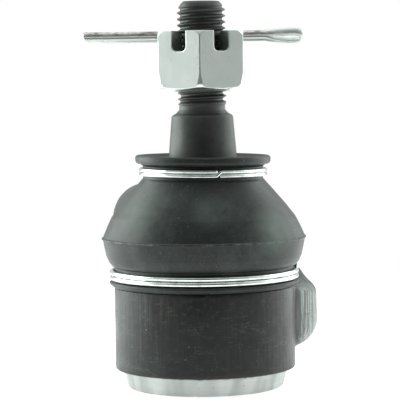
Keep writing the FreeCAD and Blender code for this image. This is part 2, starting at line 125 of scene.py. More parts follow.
# Camera, at the photograph's viewing angle.
CAMERA_TURN = math.radians(-8.4)
CAMERA_DISTANCE = 0.398
CAMERA_HEIGHT = 0.0626
CAMERA_LENS = 175.5
CAMERA_SENSOR = 36.0
CAMERA_PITCH = math.radians(3.52)
CAMERA_ROLL = math.radians(-0.75)
CAMERA_YAW = math.radians(0.10)

# Light and floor.
DIM_TURN = math.radians(-0.8)     # how far right of the camera's side the dimmest part lies
BACK_LEVEL = 0.72                 # the room's brightness behind the object,
SIDE_LEVEL = 0.90                 # beside it,
HALF_LEVEL = 0.54                 # half way round to the camera's side
CAMERA_SIDE = 0.03                # and on that side
SIDE_STOP = 0.52                  # where the middle two lie, from 0 behind the object
HALF_STOP = 0.76                  # to 1 on the camera's side
FLOOR_TONE = 0.92
FLOOR_RADIUS = 0.19
FLOOR_MIDDLE = 0.05
FLOOR_GLOW = 0.64
LAMP_TARGET = Vector((0, 0, 0.045))
LAMPS = [
    # name, metres right of the object, behind it, above it, size, power
    ("left_softbox", -0.34, 0.12, 0.06, (0.42, 0.46), 2.1),
    ("right_softbox", 0.34, 0.18, 0.08, (0.42, 0.46), 1.15),
    ("top_softbox", 0.0, 0.20, 0.50, (0.5, 0.5), 0.7),
]


# --- mesh tools ------------------------------------------------------------------------

def new_piece(name, points, faces):
    mesh = bpy.data.meshes.new(name)
    mesh.from_pydata([tuple(p) for p in points], [], faces)
    mesh.update()
    obj = bpy.data.objects.new(name, mesh)
    bpy.context.scene.collection.objects.link(obj)
    mesh.shade_smooth()
    return obj


def grid_piece(name, rows, close_rows=False, caps=False):
    """A skin over closed rows of points; caps close the first and the last row."""
    count, width = len(rows), len(rows[0])
    points = [point for row in rows for point in row]
    faces = []
    for i in range(count if close_rows else count - 1):
        below, above = i * width, ((i + 1) % count) * width
        for j in range(width):
            k = (j + 1) % width
            faces.append((below + j, below + k, above + k, above + j))
    if caps:
        faces.append(tuple(reversed(range(width))))
        faces.append(tuple(range((count - 1) * width, count * width)))
    return new_piece(name, points, faces)


def rounded(corners, fine=6):
    """Points of an outline whose corners (x, y, radius) are filleted by that radius."""
    points = []
    for index, (x, y, radius) in enumerate(corners):
        here = Vector((x, y))
        if radius <= 0 or index in (0, len(corners) - 1):
            points.append((x, y))
            continue
        back = Vector(corners[index - 1][:2]) - here
        ahead = Vector(corners[index + 1][:2]) - here
        turn = math.pi - back.angle(ahead)
        reach = min(radius * math.tan(turn / 2), back.length * 0.49, ahead.length * 0.49)
        start, end = here + back.normalized() * reach, here + ahead.normalized() * reach
        for step in range(fine + 1):
            t = step / fine
            point = start * (1 - t) ** 2 + here * (2 * t * (1 - t)) + end * t ** 2
            if (point - Vector(points[-1])).length > FINEST_STEP:
                points.append(tuple(point))
    return points


def densified(outline, longest):
    """The same outline with its long runs divided."""
    points = [outline[0]]
    for (x0, y0), (x1, y1) in zip(outline, outline[1:]):
        pieces = max(1, math.ceil(math.hypot(x1 - x0, y1 - y0) / longest))
        for step in range(1, pieces + 1):
            t = step / pieces
            points.append((x0 + (x1 - x0) * t, y0 + (y1 - y0) * t))
    return points


def lathe(name, outline, steps=192, close=False):
    """Turn an outline of (radius, height) about the Z axis."""
    rows = []
    for radius, height in outline:
        rows.append([
            (radius * math.cos(TURN * j / steps), radius * math.sin(TURN * j / steps), height)
            for j in range(steps)
        ])
    return grid_piece(name, rows, close_rows=close)


def applied(obj, *modifiers):
    """Add modifiers, (type, settings) each, and apply them all."""
    for kind, settings in modifiers:
        modifier = obj.modifiers.new(kind.lower(), kind)
        for key, value in settings.items():
            setattr(modifier, key, value)
    graph = bpy.context.evaluated_depsgraph_get()
    mesh = bpy.data.meshes.new_from_object(obj.evaluated_get(graph))
    obj.modifiers.clear()
    old = obj.data
    obj.data = mesh
    bpy.data.meshes.remove(old)
    return obj


def coordinates(mesh):
    values = np.zeros(len(mesh.vertices) * 3)
    mesh.vertices.foreach_get("co", values)
    return values.reshape(-1, 3)


def normals(mesh):
    values = np.zeros(len(mesh.vertices) * 3, np.float32)
    mesh.vertex_normals.foreach_get("vector", values)
    return values.reshape(-1, 3)


def set_coordinates(mesh, points):
    mesh.vertices.foreach_set("co", points.reshape(-1).astype(np.float32))
    mesh.update()


def noise_field(points, scale, seed):
    """Smooth noise from -1 to 1 at each point, for features of about this scale."""
    shift = Vector((seed * 7.31, seed * 3.17, seed * 5.53))
    return np.array([noise.noise(Vector(p) / scale + shift) for p in points])


def cad_copy(name, node):
    """A new object with its own copy of a CAD node's mesh."""
    obj = bpy.data.objects.new(name, nodes[node].data.copy())
    bpy.context.scene.collection.objects.link(obj)
    return obj


def welded(obj):
    """Join the vertices that the CAD mesh repeats along the edges of its faces."""
    mesh = bmesh.new()
    mesh.from_mesh(obj.data)
    bmesh.ops.remove_doubles(mesh, verts=mesh.verts, dist=WELD_GAP * MM)
    mesh.to_mesh(obj.data)
    mesh.free()
    return obj


# --- detailed pieces -------------------------------------------------------------------

def swept(name, spine, section):
    """Sweep a section, a list of (out, up), along an open spine of points."""
    rows = []
    for i, point in enumerate(spine):
        ahead, behind = spine[min(i + 1, len(spine) - 1)], spine[max(i - 1, 0)]
        way = (ahead - behind).normalized()
        out = way.cross(Vector((0, 0, 1))).normalized()
        lift = out.cross(way).normalized()
        rows.append([point + out * u + lift * v for u, v in section])
    return grid_piece(name, rows, caps=True)


def ring_points(radius, steps):
    """Points (x, y) of a circle, in metres for a radius in mm."""
    return [(radius * math.cos(TURN * k / steps) * MM, radius * math.sin(TURN * k / steps) * MM)
            for k in range(steps)]


def faded(values, begin, length):
    """0 up to begin, 1 from begin + length on, both in mm for values in metres."""
    return np.clip((values - begin * MM) / (length * MM), 0, 1)


def widen_socket(mesh):
    """Make room in the shank's bore for the threaded sleeve."""
    points = coordinates(mesh)
    out = np.hypot(points[:, 0], points[:, 2] - SHANK_HEIGHT * MM)
    bore = np.abs(out - SOCKET_CREST * MM) < 0.15 * MM
    bore &= points[:, 1] > (SOCKET_FLOOR - 0.3) * MM
    wider = np.where(bore, SOCKET_WIDENED * MM / np.maximum(out, 1e-9), 1.0)
    points[:, 0] *= wider
    points[:, 2] = SHANK_HEIGHT * MM + (points[:, 2] - SHANK_HEIGHT * MM) * wider
    set_coordinates(mesh, points)


def make_forging():
    """The housing as one forging: widened socket, soft edges, forged skin, parting flash."""
    forging = welded(cad_copy("housing_forging", "housing"))
    widen_socket(forging.data)
    applied(forging, ("REMESH", {"mode": "VOXEL", "voxel_size": FORGING_VOXEL * MM}),
            ("SMOOTH", {"factor": 0.5, "iterations": 2}))
    forging.data.shade_smooth()
    points = coordinates(forging.data)
    x, y, z = points.T
    radius = np.hypot(x, y)
    out = np.hypot(x, z - SHANK_HEIGHT * MM)
    socket = (y > SOCKET_SPACE[0] * MM) & (out < SOCKET_SPACE[1] * MM)
    end_face = y > HOUSING_HIGH.y - 0.3 * MM
    machined = (radius < WALL_SKIN * MM) | socket | end_face
    on_arm = faded(radius, ARM_BEGINS, 6)
    lumps = noise_field(points, 5.0 * MM, 3) * (0.03 + 0.08 * on_arm)
    pores = noise_field(points, 1.3 * MM, 5) * (0.008 + 0.022 * on_arm)
    middle = np.interp(y / MM, *zip(*ARM_LINE)) * MM
    flash = np.exp(-((z - middle) / (0.42 * MM)) ** 2) * FLASH_HEIGHT
    flash *= faded(y, FLASH_BEGINS, 6) * faded(-y, -FLASH_ENDS, 2)
    flash *= 1 + 0.35 * noise_field(points * np.array([0.4, 1, 0.4]), 2.2 * MM, 9)
    shift = np.where(machined, 0.0, lumps + pores + flash * on_arm) * MM
    # Nothing moves out through the sides of the CAD box.
    shift *= faded(x, HOUSING_LOW.x / MM, 0.4) * faded(-x, -HOUSING_HIGH.x / MM, 0.3)
    set_coordinates(forging.data, points + normals(forging.data) * shift[:, None])
    return forging


def socket_ring(radius, along, steps=120):
    """A ring of points about the shank's axis; radius is a function of the angle's share."""
    row = []
    for j in range(steps):
        r, angle = radius(j / steps), TURN * j / steps
        row.append((r * math.cos(angle) * MM, along * MM,
                    (SHANK_HEIGHT + r * math.sin(angle)) * MM))
    return row


def make_socket_thread():
    """Internal thread of the socket, as a sleeve set in the widened bore."""
    first, last = SOCKET_FLOOR + 1.0, SHANK_END - 0.55
    count = int((last - first) / 0.09)
    rows = []
    for i in range(count + 1):
        along = first + (last - first) * i / count
        run_in = min(1.0, (along - first) / 1.5)
        lead = max(0.0, along - (SHANK_END - 1.1))

        def radius(share):
            phase = (along / SOCKET_PITCH - share) % 1.0
            wave = min(1.0, max(0.0, (abs(phase - 0.5) - 0.07) / 0.30))
            wave = wave * wave * (3 - 2 * wave)
            depth = (SOCKET_ROOT - SOCKET_CREST) * (1 - wave) * run_in
            return max(SOCKET_CREST + depth, SOCKET_CREST + lead)
        rows.append(socket_ring(radius, along))
    for along in (last, first):
        rows.append(socket_ring(lambda share: SLEEVE_RADIUS, along))
    return grid_piece("socket_thread", rows, close_rows=True)


BOOT_OUTLINE = [
    # radius, height, corner rounding: up the outside, over the flange, down the inside
    (17.05, 20.76, 0), (18.72, 20.76, 0.2), (19.40, 21.35, 0.3), (19.38, 21.75, 0.2),
    (19.0, 21.98, 0.15), (18.32, 22.03, 0.12), (18.32, 24.75, 0.15), (18.75, 24.9, 0.15),
    (19.45, 25.75, 0.8), (20.0, 27.0, 1.5), (20.35, 28.6, 2.0), (20.58, 29.9, 0.5),
    (20.66, 30.28, 0.1), (20.90, 30.40, 0.06), (20.90, 30.62, 0.06), (20.62, 30.80, 0.12),
    (20.25, 31.7, 0.8), (19.6, 33.2, 2.0), (18.75, 34.9, 2.5), (16.9, 37.3, 4.0),
    (14.8, 39.75, 4.0), (12.75, 42.1, 0.6), (12.27, 42.65, 0.25), (12.27, 45.15, 0.2),
    (12.75, 45.5, 0.3), (13.55, 45.7, 0.35), (13.82, 46.15, 0.3), (13.82, 46.95, 0.25),
    (13.5, 47.3, 0.25), (12.95, 47.3, 0.2), (12.3, 46.75, 0.5), (9.7, 46.3, 1.0),
    (8.4, 46.75, 0.4), (7.75, 46.72, 0.25), (7.43, 46.2, 0.3), (7.43, 44.1, 0.3),
    (8.5, 43.3, 0.5), (10.25, 42.4, 0.8), (12.9, 39.4, 3.0), (16.6, 34.6, 4.0),
    (18.7, 30.8, 2.0), (18.2, 28.0, 2.0), (17.3, 26.3, 0.5), (17.05, 25.1, 0.2),
    (17.05, 24.45, 0), (16.46, 24.1, 0.1), (16.46, 22.8, 0.1), (17.05, 22.45, 0),
]


def make_boot():
    """Moulded rubber boot: ragged seam flash, slightly uneven wall and flange."""
    closed = BOOT_OUTLINE + [BOOT_OUTLINE[0]]
    outline = densified(rounded(closed, 5), 0.32)[:-1]
    boot = lathe("boot_rubber_shell", [(r * MM, z * MM) for r, z in outline], 320, close=True)
    points = coordinates(boot.data)
    height = points[:, 2]
    radius = np.hypot(points[:, 0], points[:, 1])
    free = faded(height, BOOT_FREE[0], 2) * faded(-height, -BOOT_FREE[1], 2)
    waves = noise_field(points, 9.0 * MM, 11) * 0.07 + noise_field(points, 3.0 * MM, 12) * 0.018
    flash = (np.abs(height - SEAM_HEIGHT * MM) < SEAM_HALF * MM) & (radius > SEAM_EDGE * MM)
    ragged = np.where(flash, noise_field(points, 0.9 * MM, 13) * 0.09 - 0.02, 0.0)
    flange = faded(radius, FLANGE_BEGINS, 0.3) * (height > FLANGE_BOTTOM * MM)
    dents = noise_field(points, 4.0 * MM, 14) * 0.05 * flange
    shift = (waves * free + ragged + dents) * MM
    points = points + normals(boot.data) * shift[:, None]
    points[:, 2] += collar_lean(points)
    set_coordinates(boot.data, points)
    return boot


def make_band(name, radius, low, pitch, wire, start, crossing, tail=None):
    """Wire ring of two level turns side by side, which cross over at their ends."""
    steps = 360
    cross = math.radians(crossing)
    spine = []
    sweep = 2 * TURN - cross * 0.8
    for k in range(steps + 1):
        angle = cross * 0.4 + sweep * k / steps
        lift = min(1.0, max(0.0, (angle - TURN) / cross + 0.5))
        lift = lift * lift * (3 - 2 * lift)
        way = math.radians(start) + angle
        spine.append(Vector((radius * math.cos(way), radius * math.sin(way),
                             low + pitch * lift)) * MM)
    if tail:
        spine += tail(spine[-2], spine[-1])
    return swept(name, spine, ring_points(wire / 2, 14))


def bent_up(before, end):
    """The lower clip's last bit of wire, bent up off the boot."""
    way = (end - before).normalized()
    out = Vector((end.x, end.y, 0)).normalized()
    up = Vector((0, 0, 1))
    shares = [step / 6 for step in range(1, 7)]
    return [end + (way * 0.9 * t + up * 0.85 * t * t + out * 0.12 * t) * MM for t in shares]


def make_lower_clip():
    return make_band("lower_wire_clip", radius=18.86, low=22.62, pitch=1.05, wire=1.0,
                     start=-4.0, crossing=5.0, tail=bent_up)


def make_upper_clip():
    ring = make_band("upper_wire_clip", radius=12.72, low=43.55, pitch=0.86, wire=0.84,
                     start=-84.4, crossing=3.0)
    points = coordinates(ring.data)
    points[:, 2] += collar_lean(points)
    set_coordinates(ring.data, points)
    return ring


def collar_lean(points):
    """The boot's collar sits a little lower on the camera's right."""
    along = points[:, 0] * math.cos(CAMERA_TURN) + points[:, 1] * math.sin(CAMERA_TURN)
    return -0.012 * along * np.clip((points[:, 2] / MM - 30) / 12, 0, 1)


def make_nut():
    """Castle nut with its edges broken as a tumbled and plated nut has them."""
    nut = welded(cad_copy("castle_nut_plated", "castle_nut"))
    applied(nut, ("REMESH", {"mode": "VOXEL", "voxel_size": NUT_VOXEL * MM}),
            ("SMOOTH", {"factor": 0.5, "iterations": 1}))
    nut.data.shade_smooth()
    return nut


def thread_radius(height, angle):
    """Radius of the threaded end at this height and angle about the stud."""
    phase = (height / THREAD_PITCH - angle / TURN) % 1.0
    wave = min(1.0, max(0.0, (abs(phase - 0.5) - 0.06) / 0.36))
    wave = math.sin(wave * math.pi / 2) ** 1.3
    run_in = min(1.0, max(0.0, (height - THREAD_START) / 0.8))
    thread = THREAD_CREST - (THREAD_CREST - THREAD_ROOT) * wave * run_in
    chamfer = THREAD_CREST - (height - THREAD_END + 0.2) * 0.62
    return min(thread, chamfer) if height > THREAD_END - 0.2 else thread


def stud_ring(radius, height, steps=144):
    """A ring of points round the stud; radius is a function of the angle."""
    row = []
    for j in range(steps):
        angle = TURN * j / steps
        r = radius(angle)
        row.append((r * math.cos(angle) * MM, r * math.sin(angle) * MM, height * MM))
    return row


def make_stud():
    """Ball stud with a rolled thread and a drilled cross hole."""
    plain = []
    last = math.pi - math.asin(STUD_NECK / BALL_RADIUS)
    for k in range(1, 60):
        angle = last * k / 59
        plain.append((BALL_RADIUS * math.sin(angle), BALL_HEIGHT - BALL_RADIUS * math.cos(angle)))
    # radius, height, corner rounding: neck, taper, its step and the relief under the thread
    shape = [plain[-1] + (0,), (STUD_NECK, 29.5, 3.0), (7.25, 41.5, 1.2), (7.25, 43.5, 0.4),
             (6.29, 55.15, 0.35), (6.0, 55.5, 0.3), (5.3, 55.9, 0.4), (4.68, 56.6, 0.5),
             (4.66, 57.55, 0)]
    plain += densified(rounded(shape, 5), 0.5)[1:]
    rows = [stud_ring(lambda angle: r, z) for r, z in plain]
    height = THREAD_START
    while height < STUD_TOP - 0.35:
        rows.append(stud_ring(lambda angle: thread_radius(height, angle), height))
        height += 0.085
    end_face = [(3.85, -0.28), (3.72, -0.1), (3.55, 0), (1.9, 0), (1.7, -0.12), (0.35, -0.5)]
    rows += [stud_ring(lambda angle: r, STUD_TOP + z) for r, z in end_face]
    stud = grid_piece("ball_stud_rolled", rows, caps=True)
    drill = swept("cross_drill", [Vector((u, 0, PIN_HEIGHT)) * MM for u in (-8, 8)],
                  ring_points(CROSS_HOLE, 32))
    drill.data.transform(Matrix.Rotation(PIN_TURN, 4, "Z"))
    applied(stud, ("BOOLEAN", {"object": drill, "operation": "DIFFERENCE", "solver": "EXACT"}))
    bpy.data.objects.remove(drill)
    stud.data.shade_smooth()
    return stud


def pin_path(side):
    """Middle of one leg's flat side: from the tip along the leg and half round the eye."""
    runs = [(PIN_TIPS[side], 0.02, 0), (13.0, 0.02, 1.6), (15.0, 0.36, 1.5), (17.8, 0.66, 1.2),
            (19.3, 0.66, 0.6), (19.92, 0.40, 0.35), (20.0, 0.0, 0)]
    return [(x, up * side) for x, up in densified(rounded(runs, 6), 0.4)]


def make_cotter_pin():
    """Half-round wire folded on itself, cut square at its tips, its eye pressed askew."""
    line = pin_path(1) + pin_path(-1)[-2::-1]
    spine = [Vector((x * MM, 0, up * MM)) for x, up in line]
    across = Vector((0, 1, 0))
    rows = []
    for i, point in enumerate(spine):
        ahead, behind = spine[min(i + 1, len(spine) - 1)], spine[max(i - 1, 0)]
        out = (ahead - behind).normalized().cross(across).normalized()
        size = PIN_RADIUS * MM * (1.0 if 0 < i < len(spine) - 1 else 0.93)
        arc = [math.pi * k / 12 for k in range(13)]
        row = [point + (across * math.cos(angle) * 0.985
                        + out * (0.02 + 0.97 * math.sin(angle))) * size for angle in arc]
        row += [point + across * edge * size + out * 0.004 * MM for edge in (-0.9, 0.9)]
        rows.append(row)
    pin = grid_piece("split_pin_wire", rows, caps=True)
    points = coordinates(pin.data)
    turn = EYE_TWIST * faded(points[:, 0], TWIST_BEGINS, TWIST_LENGTH)
    y, z = points[:, 1].copy(), points[:, 2].copy()
    points[:, 1] = y * np.cos(turn) - z * np.sin(turn)
    points[:, 2] = y * np.sin(turn) + z * np.cos(turn) + PIN_HEIGHT * MM
    points[:, 2] += noise_field(points * np.array([1, 0.1, 0.1]), 9.0 * MM, 21) * 0.04 * MM
    set_coordinates(pin.data, points)
    pin.data.transform(Matrix.Rotation(PIN_TURN, 4, "Z"))
    return pin


def make_cover():
    """Pressed closing plate with a rolled step and a small dimple in its middle."""
    # radius, height, corner rounding: out along the underside and back over the top
    profile = [(0.02, 0.12, 0), (1.3, 0.10, 0.3), (1.8, 0.0, 0.2), (9.0, 0.0, 0.5),
               (10.8, 1.32, 0.7), (14.1, 1.36, 0.15), (14.33, 1.55, 0.15), (14.33, 3.22, 0.12),
               (11.1, 3.24, 0.5), (9.4, 1.9, 0.6), (0.02, 1.88, 0)]
    outline = densified(rounded(profile, 5), 0.4)
    return lathe("cover_plate_pressed", [(r * MM, z * MM) for r, z in outline], 180, close=True)


# --- materials -------------------------------------------------------------------------

class Shader:
    """A Principled material and short calls that add and link nodes to it."""

    def __init__(self, name, colour, rough, metallic=0.0, **sockets):
        self.material = bpy.data.materials.new(name)
        self.material.use_nodes = True
        self.tree = self.material.node_tree
        self.principled = self.tree.nodes["Principled BSDF"]
        self.set(self.principled, {"Base Color": (*colour, 1), "Roughness": rough,
                                   "Metallic": metallic})
        self.paint(**sockets)
        self.place = self.tree.nodes.new("ShaderNodeTexCoord").outputs["Object"]

    def set(self, node, sockets):
        for key, value in sockets.items():
            if isinstance(value, bpy.types.NodeSocket):
                self.tree.links.new(value, node.inputs[key])
            else:
                node.inputs[key].default_value = value

    def node(self, kind, out=0, settings=None, **sockets):
        node = self.tree.nodes.new("ShaderNode" + kind)
        for key, value in (settings or {}).items():
            setattr(node, key, value)
        self.set(node, {key.replace("_", " "): value for key, value in sockets.items()})
        return node.outputs[out]

    def stretched(self, x, y, z):
        """Object coordinates scaled by axis, in units of 1 / metre."""
        return self.node("Mapping", Vector=self.place, Scale=(x, y, z))

    def noise(self, scale, detail=4.0, rough=0.5, place=None):
        """Noise with this many features to the metre, or 1.0 for a stretched place."""
        return self.node("TexNoise", Vector=place or self.place, Scale=scale, Detail=detail,
                         Roughness=rough)

    def ramp(self, value, low, high, dark=(0, 0, 0), light=(1, 1, 1)):
        """Map value from low..high to a blend of two colours."""
        node = self.tree.nodes.new("ShaderNodeValToRGB")
        node.color_ramp.elements[0].position = low
        node.color_ramp.elements[1].position = high
        node.color_ramp.elements[0].color = (*dark, 1)
        node.color_ramp.elements[1].color = (*light, 1)
        self.tree.links.new(value, node.inputs["Fac"])
        return node.outputs["Color"]

    def math(self, operation, a, b=0.0, clamp=False):
        node = self.tree.nodes.new("ShaderNodeMath")
        node.operation = operation
        node.use_clamp = clamp
        for index, value in enumerate((a, b)):
            if isinstance(value, bpy.types.NodeSocket):
                self.tree.links.new(value, node.inputs[index])
            else:
                node.inputs[index].default_value = value
        return node.outputs[0]

    def mix(self, factor, a, b):
        node = self.tree.nodes.new("ShaderNodeMix")
        node.data_type = "RGBA"
        for socket, value in zip((node.inputs[0], node.inputs[6], node.inputs[7]), (factor, a, b)):
            if isinstance(value, bpy.types.NodeSocket):
                self.tree.links.new(value, socket)
            else:
                socket.default_value = value if isinstance(value, float) else (*value, 1)
        return node.outputs[2]

    def times(self, a, b):
        return self.math("MULTIPLY", a, b)

    def plus(self, a, b):
        return self.math("ADD", a, b)

    def without(self, mask):
        """1 where the mask is 0 and the other way round."""
        return self.math("SUBTRACT", 1.0, mask)

    def laid(self, tone, mask, strength, colour):
        """A tone with a colour laid over it where the mask says."""
        return self.mix(self.times(mask, strength), tone, colour)

    def map(self, value, low, high, to_low, to_high):
        """Map value from low..high, held at the ends, to to_low..to_high."""
        return self.node("MapRange", Value=value, **{
            "From_Min": low, "From_Max": high, "To_Min": to_low, "To_Max": to_high})

    def axes(self):
        """The object coordinates x, y and z of the shaded point."""
        return [self.node("SeparateXYZ", out, Vector=self.place) for out in range(3)]

    def bump(self, height, depth, strength):
        return self.node("Bump", Height=height, Distance=depth, Strength=strength)

    def paint(self, **sockets):
        self.set(self.principled, {key.replace("_", " "): v for key, v in sockets.items()})
        return self.material


def dress(obj, material):
    obj.data.materials.clear()
    obj.data.materials.append(material)


SHEEN_PATCHES = [
    # middle of a patch of painted sheen on the boot and how far it reaches, both in metres; its
    # strength
    ((0.0115, -0.0158, 0.0325), 0.0060, 1.0),
    ((-0.0140, -0.0100, 0.0370), 0.0090, 0.5),
    ((-0.0010, -0.0168, 0.0365), 0.0048, 0.55),
]


def rubber_material():
    """Moulded rubber with bloom in soft patches, painted sheen in a few lighter patches, dust
    specks, painted highlights along the seam and fine grain.
    """
    s = Shader("boot_rubber", (0.012, 0.015, 0.014), 0.42, Specular_IOR_Level=0.37)
    cloud = s.noise(95.0, 6.0, 0.66)
    grain = s.noise(2600.0, 3.0, 0.6)
    tone = s.ramp(cloud, 0.3, 0.72, (0.0065, 0.0085, 0.008), (0.019, 0.0235, 0.022))
    bloom = s.ramp(s.noise(1.0, 5.0, 0.66, s.stretched(130.0, 130.0, 60.0)), 0.50, 0.74)
    tone = s.laid(tone, bloom, 0.75, (0.050, 0.060, 0.056))
    tone = s.laid(tone, s.ramp(grain, 0.50, 0.66), 0.25, (0.06, 0.068, 0.065))
    # Painted sheen: lighter greenish patches laid on the rubber at these places.
    for spot, reach, strength in SHEEN_PATCHES:
        far = s.node("VectorMath", 1, {"operation": "DISTANCE"}, Vector=s.place)
        far.node.inputs[1].default_value = spot
        near = s.times(s.map(far, 0.0, reach, 1.0, 0.0), s.ramp(cloud, 0.30, 0.52))
        tone = s.laid(tone, near, strength, (0.11, 0.14, 0.125))
    dust = s.ramp(s.noise(1500.0, 2.0, 0.5), 0.70, 0.77)
    tone = s.laid(tone, dust, 0.5, (0.24, 0.25, 0.245))
    # Painted highlight: lighter specks along the moulding seam's flash.
    off_seam = s.math("ABSOLUTE", s.math("SUBTRACT", s.axes()[2], SEAM_HEIGHT * MM))
    seam = s.map(off_seam, 0.06 * MM, 0.18 * MM, 1.0, 0.0)
    seam_glint = s.ramp(s.noise(260.0, 5.0, 0.7), 0.50, 0.66)
    tone = s.laid(tone, seam, s.times(seam_glint, 0.85), (0.20, 0.22, 0.21))
    height = s.plus(s.times(grain, 0.4), s.noise(420.0, 4.0, 0.6))
    return s.paint(Base_Color=tone, Roughness=s.map(cloud, 0.3, 0.7, 0.35, 0.50),
                   Normal=s.bump(height, 0.05 * MM, 0.45))


def forged_marks(s, x, y, arm):
    """Masks of the forging: lengthwise scores, the arm's trimmed front, which also carries painted
    highlight, waves and seams.
    """
    front = s.times(arm, s.map(y, 2 * MM, 11 * MM, 1.0, 0.0))
    fine = s.noise(1.0, 5.0, 0.62, s.stretched(2300.0, 2300.0, 85.0))
    where = s.ramp(s.noise(1.0, 3.0, 0.55, s.stretched(150.0, 150.0, 75.0)), 0.38, 0.62)
    side = s.map(s.math("ABSOLUTE", x), 7 * MM, 15 * MM, 0.12, 1.0)
    where = s.times(s.times(where, side), s.without(arm))
    scored = s.times(s.ramp(fine, 0.50, 0.70), s.math("MAXIMUM", where, front))
    waves = s.ramp(s.noise(1.0, 6.0, 0.72, s.stretched(120.0, 120.0, 460.0)), 0.53, 0.66)
    drift = s.noise(1.0, 5.0, 0.62, s.stretched(95.0, 95.0, 330.0))
    seams = s.map(s.math("ABSOLUTE", s.math("SUBTRACT", drift, 0.5)), 0.002, 0.012, 1.0, 0.0)
    seams = s.times(seams, s.ramp(s.noise(260.0, 3.0, 0.6), 0.46, 0.60))
    return front, scored, waves, seams


def coat_tone(s, cloud, arm, marks):
    """Colour of the thin black coat, greyer where it is scored or creased and in flecks, with
    painted highlight as lighter grey over the arm and its front.
    """
    front, scored, waves, seams = marks
    tone = s.ramp(cloud, 0.32, 0.7, (0.002, 0.003, 0.0028), (0.011, 0.0145, 0.0142))
    stain = s.ramp(s.noise(1.0, 4.0, 0.6, s.stretched(95.0, 95.0, 60.0)), 0.50, 0.62)
    tone = s.laid(tone, stain, 0.75, (0.0095, 0.0075, 0.0062))
    # Painted highlight: the arm is laid lighter grey, and its front by the housing lighter still.
    tone = s.laid(tone, arm, 0.38, (0.055, 0.061, 0.059))
    tone = s.laid(tone, front, 0.8, (0.105, 0.114, 0.111))
    tone = s.laid(tone, scored, 0.55, (0.105, 0.118, 0.112))
    ridges = s.noise(1.0, 4.0, 0.66, s.stretched(1500.0, 1500.0, 60.0))
    grooves = s.times(front, s.ramp(ridges, 0.46, 0.60))
    tone = s.laid(tone, grooves, 0.7, (0.46, 0.49, 0.48))
    tone = s.laid(tone, waves, 0.40, (0.034, 0.036, 0.034))
    tone = s.laid(tone, seams, 0.5, (0.065, 0.070, 0.066))
    fleck = s.ramp(s.noise(700.0, 6.0, 0.78), 0.56, 0.68)
    tone = s.laid(tone, fleck, 0.40, (0.060, 0.070, 0.067))
    specks = s.ramp(s.noise(1300.0, 1.0, 0.4), 0.77, 0.80)
    return s.laid(tone, specks, 0.5, (0.22, 0.23, 0.22))


def rim_tone(s):
    """Colour of the turned and swaged rim: fine rings, dull streaks and pits."""
    rings = s.noise(1.0, 3.0, 0.6, s.stretched(60.0, 60.0, 4200.0))
    tone = s.ramp(rings, 0.2, 0.85, (0.44, 0.465, 0.45), (0.56, 0.585, 0.57))
    streak = s.ramp(s.noise(1.0, 1.0, 0.5, s.stretched(300.0, 300.0, 20.0)), 0.40, 0.62)
    tone = s.laid(tone, streak, 0.55, (0.25, 0.265, 0.255))
    pits = s.ramp(s.noise(620.0, 3.0, 0.7), 0.66, 0.71)
    return s.laid(tone, pits, 0.8, (0.10, 0.10, 0.09))


def forged_material():
    """Thin black coating on the forging, ending raggedly over the bare turned rim."""
    s = Shader("forged_black", (0.02, 0.022, 0.021), 0.4, Specular_IOR_Level=0.36)
    x, y, z = s.axes()
    radius = s.math("SQRT", s.plus(s.times(x, x), s.times(y, y)))
    arm = s.map(radius, 18.7 * MM, 20.0 * MM, 0.0, 1.0)
    edge = s.plus(z, s.times(s.noise(900.0, 4.0, 0.6), 0.9 * MM))
    edge = s.plus(edge, s.times(s.noise(260.0, 2.0, 0.6), 0.5 * MM))
    low = s.map(edge, COAT_EDGE[0] * MM, COAT_EDGE[1] * MM, 1.0, 0.0)
    turned = s.map(radius, (WALL_SKIN - 0.2) * MM, WALL_SKIN * MM, 1.0, 0.0)
    bare = s.math("MULTIPLY", low, turned, clamp=True)
    marks = forged_marks(s, x, y, arm)
    cloud = s.noise(120.0, 6.0, 0.62)
    height = s.plus(s.times(marks[1], 0.35), s.times(s.noise(1900.0, 4.0, 0.62), 0.4))
    height = s.plus(s.plus(height, s.times(cloud, 1.6)), s.times(marks[2], 0.5))
    height = s.math("SUBTRACT", height, s.times(marks[3], 0.6))
    coat_rough = s.times(s.map(cloud, 0.3, 0.7, 0.27, 0.46), s.without(bare))
    return s.paint(Base_Color=s.mix(bare, coat_tone(s, cloud, arm, marks), rim_tone(s)),
                   Metallic=bare, Roughness=s.plus(coat_rough, s.times(bare, 0.33)),
                   Normal=s.bump(height, 0.06 * MM, 0.55))


def thread_material():
    """Cut thread, unevenly dulled."""
    s = Shader("cut_thread", (0.30, 0.30, 0.29), 0.34, 1.0)
    stain = s.noise(300.0, 4.0, 0.6)
    tone = s.ramp(stain, 0.3, 0.7, (0.16, 0.16, 0.15), (0.36, 0.36, 0.35))
    return s.paint(Base_Color=tone, Normal=s.bump(s.noise(2400.0), 0.02 * MM, 0.5))


def wire_material():
    """Bright drawn wire: fine lines along it and a few dull spots."""
    s = Shader("bright_wire", (0.9, 0.92, 0.91), 0.14, 1.0)
    lines = s.noise(1.0, 3.0, 0.6, s.stretched(350.0, 350.0, 8000.0))
    dull = s.ramp(s.noise(420.0, 4.0, 0.65), 0.45, 0.70)
    tone = s.laid((0.80, 0.83, 0.81), dull, 0.5, (0.36, 0.38, 0.37))
    return s.paint(Base_Color=tone, Roughness=s.map(dull, 0.0, 1.0, 0.12, 0.26),
                   Normal=s.bump(lines, 0.012 * MM, 0.5))


